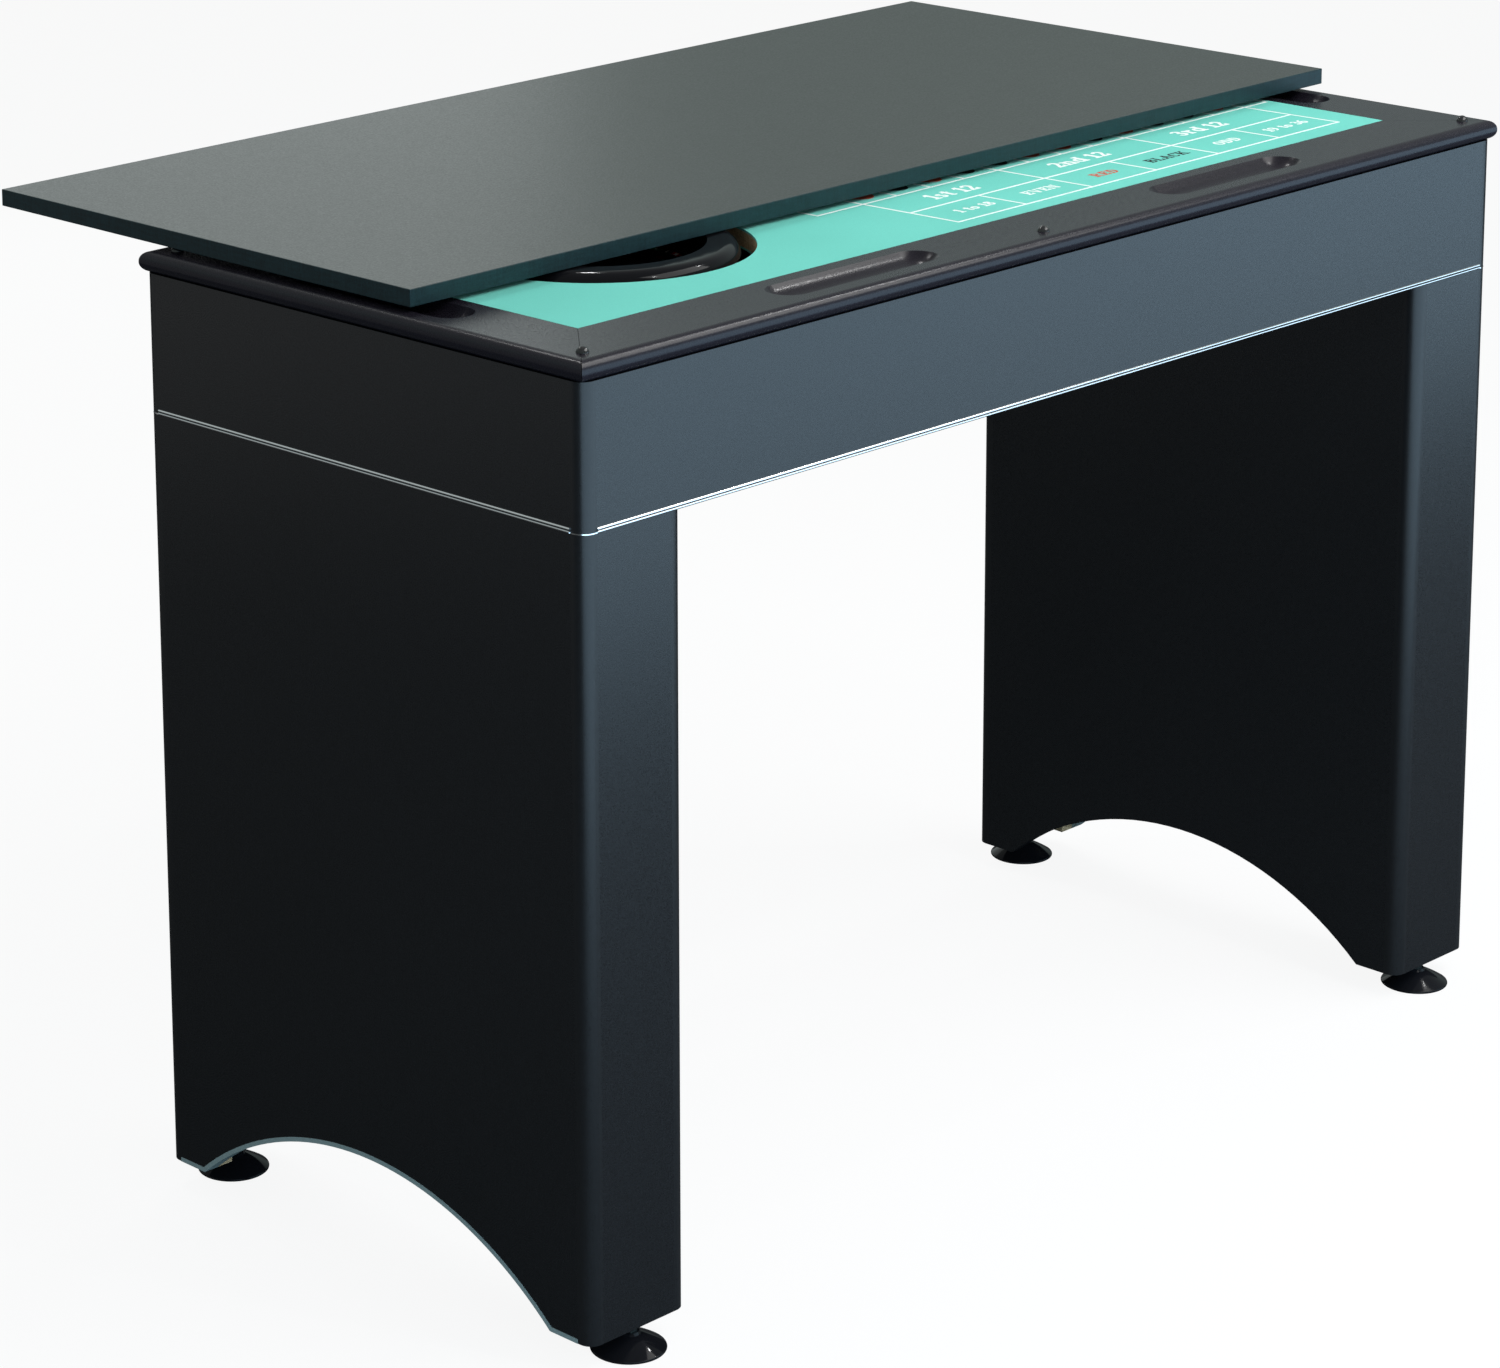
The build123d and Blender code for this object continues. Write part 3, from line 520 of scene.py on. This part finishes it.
# ---------------------------------------------------------------- printed roulette layout
LINE = 2.5  # printed line width, and the layout's own lines below, in millimetres
FIRST_X = -56.0
COLUMN = 46.2
COLUMNS = 12
ROW = 74.0
ROWS = 3
EVEN_MONEY_Y = -167.0
DOZEN_Y = -114.0
NUMBERS_Y = -61.8
ZERO_X = -116.0
LAST_X = FIRST_X + COLUMN * COLUMNS
SIDE_BET_X = 533.0
EVEN_MONEY_OFF = 8.0  # the words sit off the middles of their boxes, by less from box to box
EVEN_MONEY_DRIFT = 1.5
DOZEN_DRIFT = 5.0
EVEN_MONEY_HEIGHT = 12.2  # capitals of each kind of word
DOZEN_HEIGHT = 18.5
SIDE_BET_HEIGHT = 13.0
ZERO_HEIGHT = 26.0
DIGIT_HEIGHT = 19.0
OVAL_X = 16.5  # half the width and half the depth of a number's oval
OVAL_Y = 27.0
NUMBERS_TOP = NUMBERS_Y + ROW * ROWS
PRINT_THICK = 0.12
PRINT_TURN = 0.0125  # the cloth lies a little askew: this far along y for each step along x
PRINT_LEAN = -0.06  # and this far along x for each step along y
PRINT_MIDDLE = (FIRST_X + LAST_X) / 2
RED_NUMBERS = {1, 3, 5, 7, 9, 12, 14, 16, 18, 19, 21, 23, 25, 27, 30, 32, 34, 36}
felt_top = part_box("roulette_felt")[1].z / MM
board_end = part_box("roulette_felt")[1].x / MM


def on_felt(x, y, z):
    across = x + PRINT_LEAN * (y - DOZEN_Y)
    along = y + PRINT_TURN * (x - PRINT_MIDDLE)
    return Vector((across, along, felt_top + z)) * MM


def printed(name, polygons, finish, level=0):
    """Ink on the felt. Inks that lie on other inks take a higher level."""
    low = PRINT_THICK * level
    return slab(name, polygons, on_felt, low, low + PRINT_THICK, finish, "table")


def rule(x0, y0, x1, y1):
    """A printed line along x or y, with square ends."""
    half = LINE / 2
    return box_outline((min(x0, x1) - half, max(x0, x1) + half), (min(y0, y1) - half, max(y0, y1) + half))


def layout_lines():
    end = min(SIDE_BET_X, board_end - LINE)
    lines = [rule(FIRST_X, EVEN_MONEY_Y, LAST_X, EVEN_MONEY_Y), rule(FIRST_X, DOZEN_Y, LAST_X, DOZEN_Y)]
    lines.append(rule(FIRST_X, EVEN_MONEY_Y, FIRST_X, NUMBERS_Y))
    for step in range(1, 7):
        x = FIRST_X + 2 * COLUMN * step
        lines.append(rule(x, EVEN_MONEY_Y, x, DOZEN_Y))
    for step in range(1, 4):
        x = FIRST_X + 4 * COLUMN * step
        lines.append(rule(x, DOZEN_Y, x, NUMBERS_Y))
    for step in range(COLUMNS + 1):
        x = FIRST_X + COLUMN * step
        lines.append(rule(x, NUMBERS_Y, x, NUMBERS_TOP))
    for step in range(ROWS + 1):
        y = NUMBERS_Y + ROW * step
        lines.append(rule(FIRST_X, y, end, y))
    lines.append(rule(end, NUMBERS_Y, end, NUMBERS_TOP))
    middle = (NUMBERS_Y + NUMBERS_TOP) / 2
    for low, high in ((NUMBERS_Y, middle), (middle, NUMBERS_TOP)):
        lines += [rule(ZERO_X, low, FIRST_X, low), rule(ZERO_X, high, FIRST_X, high)]
        lines.append(rule(ZERO_X, low, ZERO_X, high))
    return lines


def oval(x, y, rx, ry, steps=40):
    return [(x + rx * math.cos(2 * math.pi * k / steps), y + ry * math.sin(2 * math.pi * k / steps))
            for k in range(steps)]


def print_layout():
    """White rules and words, red and black ovals with their numbers, and the two colour words."""
    box = 2 * COLUMN
    middle_y = (EVEN_MONEY_Y + DOZEN_Y) / 2
    white = layout_lines()
    words = {}
    for place, word in enumerate(("1 to 18", "EVEN", "RED", "BLACK", "ODD", "19 to 36")):
        middle_x = FIRST_X + box * (place + 0.5) + EVEN_MONEY_OFF - EVEN_MONEY_DRIFT * place
        words[word] = lettering(word, EVEN_MONEY_HEIGHT, centre=(middle_x, middle_y))
    for word in ("1 to 18", "EVEN", "ODD", "19 to 36"):
        white += words[word]
    for place, word in enumerate(("1st 12", "2nd 12", "3rd 12")):
        middle_x = FIRST_X + 4 * COLUMN * (place + 0.5) - DOZEN_DRIFT * (place + 1)
        white += lettering(word, DOZEN_HEIGHT, centre=(middle_x, (DOZEN_Y + NUMBERS_Y) / 2))
    for row in range(ROWS):
        centre = ((LAST_X + min(SIDE_BET_X, board_end)) / 2, NUMBERS_Y + ROW * (row + 0.5))
        white += lettering("2 to 1", SIDE_BET_HEIGHT, True, centre)
    half = (NUMBERS_TOP - NUMBERS_Y) / 2
    for place, word in ((0, "0"), (1, "00")):
        centre = ((ZERO_X + FIRST_X) / 2, NUMBERS_Y + half * (place + 0.5))
        white += lettering(word, ZERO_HEIGHT, True, centre)
    printed("layout_white", white, WHITE_INK)

    red, black = words["RED"], words["BLACK"]
    digits = []
    for number in range(1, 37):
        column, row = divmod(number - 1, ROWS)
        centre = (FIRST_X + COLUMN * (column + 0.5), NUMBERS_Y + ROW * (row + 0.5))
        (red if number in RED_NUMBERS else black).append(oval(*centre, OVAL_X, OVAL_Y))
        digits += lettering(str(number), DIGIT_HEIGHT, True, centre)
    printed("layout_red", red, RED_INK)
    printed("layout_black", black, BLACK_INK)
    printed("layout_numbers", digits, WHITE_INK, 1)


print_layout()


# ---------------------------------------------------------------- roulette wheel
WHEEL_ORDER = (0, 28, 9, 26, 30, 11, 7, 20, 32, 17, 5, 22, 34, 15, 3, 24, 36, 13, 1,
               -1, 27, 10, 25, 29, 12, 8, 19, 31, 18, 6, 21, 33, 16, 4, 23, 35, 14, 2)
POCKET_ANGLE = 2 * math.pi / len(WHEEL_ORDER)
FOIL = 0.12  # thickness of the coloured plates and numerals, in millimetres
FOIL_LIFT = 0.02  # under the plates, so that they don't touch the plastic
FRET_CLEAR = 0.8  # half the fret and a little room, in millimetres
PLATE_CLEAR = 0.25  # half the gap between two deck plates
PLATE_MARGIN = 0.3  # from a floor's or plate's rounded ends to the ring and the cone
DECK_MARGIN = 0.4  # from a plate to the rotor's rim
RING_FLOOR = 1.0  # thickness of the pocket ring's floor
NUMERAL_HEIGHT = 3.6
rotor_low, rotor_high = (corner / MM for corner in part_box("wheel_rotor"))
ring_low, ring_high = (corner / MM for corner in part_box("wheel_pocket_ring"))
wheel_x = (rotor_low.x + rotor_high.x) / 2
rotor_radius = (rotor_high.x - rotor_low.x) / 2
ring_radius = (ring_high.x - ring_low.x) / 2
cone_low, cone_high = (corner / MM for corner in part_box("wheel_cone"))
cone_radius = (cone_high.x - cone_low.x) / 2
deck_low = ring_high.z  # the raised deck's inner edge is level with the frets
deck_high = rotor_high.z
pocket_floor = ring_low.z + RING_FLOOR


def polar(radius, angle, z):
    return Vector((wheel_x + radius * math.cos(angle), radius * math.sin(angle), z)) * MM


def in_pocket(x, y, z):
    """Along the ring by angle (radians), out by radius (millimetres), up from the pocket floor."""
    return polar(y, x, pocket_floor + z)


def on_deck(x, y, z):
    """The same on the rotor's sloping outer deck."""
    slope = (deck_high - deck_low) / (rotor_radius - ring_radius)
    return polar(y, x, deck_low + (y - ring_radius) * slope + z)


def sector(pocket, inner, outer, clear):
    """One pocket's share of a ring, stopping short of its neighbours by clear millimetres."""
    steps = 4
    start, end = pocket * POCKET_ANGLE, (pocket + 1) * POCKET_ANGLE
    path = []
    for radius, order in ((outer, range(steps + 1)), (inner, range(steps, -1, -1))):
        gap = clear / radius
        path += [(start + gap + (end - start - 2 * gap) * step / steps, radius) for step in order]
    return path


def dress_wheel():
    """Coloured pocket floors and deck plates, and a numeral over each pocket, riding on the rotor."""
    groups = {"red": [], "black": [], "green": []}
    numerals = []
    for pocket, number in enumerate(WHEEL_ORDER):
        tint = "green" if number < 1 else "red" if number in RED_NUMBERS else "black"
        groups[tint].append(pocket)
        word = "00" if number < 0 else str(number)
        angle = (pocket + 0.5) * POCKET_ANGLE
        middle = (ring_radius + rotor_radius) / 2
        for part in lettering(word, NUMERAL_HEIGHT):
            numerals.append([(angle - x / middle, middle + y) for x, y in part])
    paints = {"red": RED_ENAMEL, "black": BLACK_ENAMEL, "green": GREEN_ENAMEL}
    for tint, pockets in groups.items():
        inner, outer = cone_radius + PLATE_MARGIN, ring_radius - PLATE_MARGIN
        floors = [sector(k, inner, outer, FRET_CLEAR) for k in pockets]
        slab("pocket_floors_" + tint, floors, in_pocket, FOIL_LIFT, FOIL, paints[tint], "rotor")
        inner, outer = ring_radius + PLATE_MARGIN, rotor_radius - DECK_MARGIN
        plates = [sector(k, inner, outer, PLATE_CLEAR) for k in pockets]
        slab("pocket_plates_" + tint, plates, on_deck, FOIL_LIFT, FOIL, paints[tint], "rotor")
    slab("pocket_numerals", numerals, on_deck, FOIL, 2 * FOIL, WHITE_ENAMEL, "rotor")


dress_wheel()


# ---------------------------------------------------------------- studio
def softbox(name, centre, target, wide, high, radiance, tint=(1.0, 1.0, 1.0)):
    """A rectangular soft light at centre, facing target."""
    lamp = bpy.data.lights.new(name, "AREA")
    lamp.shape = "RECTANGLE"
    lamp.size, lamp.size_y = wide, high
    lamp.energy = radiance * math.pi * wide * high
    lamp.color = tint
    holder = bpy.data.objects.new(name, lamp)
    holder.location = centre
    aim = Vector(target) - Vector(centre)
    holder.rotation_euler = aim.to_track_quat("-Z", "Y").to_euler()
    holder.visible_camera = False
    bpy.context.scene.collection.objects.link(holder)
    return holder


FLOOR_GAP = 0.0002  # keeps the floor's face off the feet's


def make_floor():
    """A wide pale floor. It shows near white, with soft shadows, and throws little light back."""
    half, steps = 30.0, 12
    mesh = bpy.data.meshes.new("floor")
    shape = bmesh.new()
    bmesh.ops.create_grid(shape, x_segments=steps, y_segments=steps, size=half)
    shape.to_mesh(mesh)
    shape.free()
    floor = bpy.data.objects.new("floor", mesh)
    floor.location.z = cad_box[0].z - FLOOR_GAP
    bpy.context.scene.collection.objects.link(floor)
    finish = Finish("floor", 0.9, specular=0.0)
    mottle = finish.noise(0.8, 2.0)
    finish.paint(finish.blend(mottle, (0.085, 0.085, 0.086), (0.095, 0.095, 0.096)))
    seen = finish.add("ShaderNodeLightPath").outputs["Is Camera Ray"]
    finish.shader.inputs["Emission Color"].default_value = (1.0, 1.0, 1.0, 1.0)
    finish.feed(finish.shader.inputs["Emission Strength"], finish.maths("MULTIPLY", seen, 0.90))
    mesh.materials.append(finish.material)


def make_world():
    """White to the camera. Other rays see a dim room, a little lighter overhead."""
    world = bpy.data.worlds.new("studio")
    bpy.context.scene.world = world
    world.use_nodes = True
    tree = world.node_tree
    tree.nodes.clear()
    place = tree.nodes.new("ShaderNodeTexCoord")
    split = tree.nodes.new("ShaderNodeSeparateXYZ")
    tree.links.new(place.outputs["Generated"], split.inputs[0])
    ramp = tree.nodes.new("ShaderNodeValToRGB")
    ramp.color_ramp.elements[0].position = 0.0
    ramp.color_ramp.elements[0].color = (0.13, 0.135, 0.14, 1.0)
    horizon = ramp.color_ramp.elements.new(0.25)
    horizon.color = (0.40, 0.49, 0.47, 1.0)
    ramp.color_ramp.elements[-1].position = 0.8
    ramp.color_ramp.elements[-1].color = (0.42, 0.43, 0.43, 1.0)
    tree.links.new(split.outputs["Z"], ramp.inputs["Fac"])
    dim = tree.nodes.new("ShaderNodeBackground")
    tree.links.new(ramp.outputs["Color"], dim.inputs["Color"])
    plain = tree.nodes.new("ShaderNodeBackground")
    plain.inputs["Color"].default_value = (1.0, 1.0, 1.0, 1.0)
    path = tree.nodes.new("ShaderNodeLightPath")
    mix = tree.nodes.new("ShaderNodeMixShader")
    tree.links.new(path.outputs["Is Camera Ray"], mix.inputs["Fac"])
    tree.links.new(dim.outputs[0], mix.inputs[1])
    tree.links.new(plain.outputs[0], mix.inputs[2])
    out = tree.nodes.new("ShaderNodeOutputWorld")
    tree.links.new(mix.outputs[0], out.inputs["Surface"])


LAMP_PLACES = ((0.6, 1.0), (-0.5, 1.3), (0.0, -1.9), (1.6, -0.6))
LAMP_HEIGHT = 2.7
LAMP_TARGET = (-0.3, -0.1, 0.8)
LAMP_SIZE = 0.08
LAMP_RADIANCE = 260.0


def light_studio():
    """A key light to the front right, low cards that the faces mirror, and small bright lamps."""
    softbox("key", (0.9, -1.6, 2.6), (0.0, -0.1, 0.85), 2.4, 1.4, 5.0, (1.0, 0.99, 0.97))
    softbox("front_card", (0.3, -1.55, 0.56), (0.3, -0.2, 0.56), 6.0, 1.08, 2.45, (0.54, 0.79, 1.0))
    softbox("back_card", (1.45, 3.5, 1.4), (-0.3, 0.2, 0.85), 2.4, 2.0, 0.65, (0.96, 1.0, 1.0))
    softbox("back_left", (-2.3, 1.9, 0.5), (0.0, 0.0, 0.5), 2.6, 0.98, 0.24)
    for number, (x, y) in enumerate(LAMP_PLACES):
        softbox(f"lamp_{number}", (x, y, LAMP_HEIGHT), LAMP_TARGET, LAMP_SIZE, LAMP_SIZE, LAMP_RADIANCE)


# ---------------------------------------------------------------- camera
CAMERA_PLACE = (-3.0964, -2.7799, 1.8025)
CAMERA_YAW = 43.313  # degrees clockwise from +Y, seen from above
CAMERA_PITCH = -13.056
CAMERA_ROLL = -0.841
CAMERA_LENS = 113.69  # on a 36 mm sensor
CAMERA_SHIFT = (0.1883, -0.3205)


def make_camera():
    """The photograph's view. The lens shift holds only at that place, so other views stay centred."""
    data = bpy.data.cameras.new("camera")
    data.sensor_width = 36.0
    data.lens = CAMERA_LENS
    data.clip_end = 200.0
    camera = bpy.data.objects.new("camera", data)
    bpy.context.scene.collection.objects.link(camera)
    camera.location = CAMERA_PLACE
    turn = Matrix.Rotation(math.radians(-CAMERA_YAW), 4, "Z")
    tilt = Matrix.Rotation(math.radians(90 + CAMERA_PITCH), 4, "X")
    roll = Matrix.Rotation(math.radians(CAMERA_ROLL), 4, "Z")
    camera.rotation_euler = (turn @ tilt @ roll).to_euler()
    for channel, amount in zip(("shift_x", "shift_y"), CAMERA_SHIFT):
        driver = data.driver_add(channel).driver
        driver.type = "SCRIPTED"
        source = driver.variables.new()
        source.name = "x"
        source.type = "SINGLE_PROP"
        source.targets[0].id = camera
        source.targets[0].data_path = "location[0]"
        driver.expression = f"{amount} if abs(x - ({CAMERA_PLACE[0]})) < 0.001 else 0"
    bpy.context.scene.camera = camera


make_floor()
make_world()
light_studio()
make_camera()
bpy.context.scene.view_settings.view_transform = "Standard"
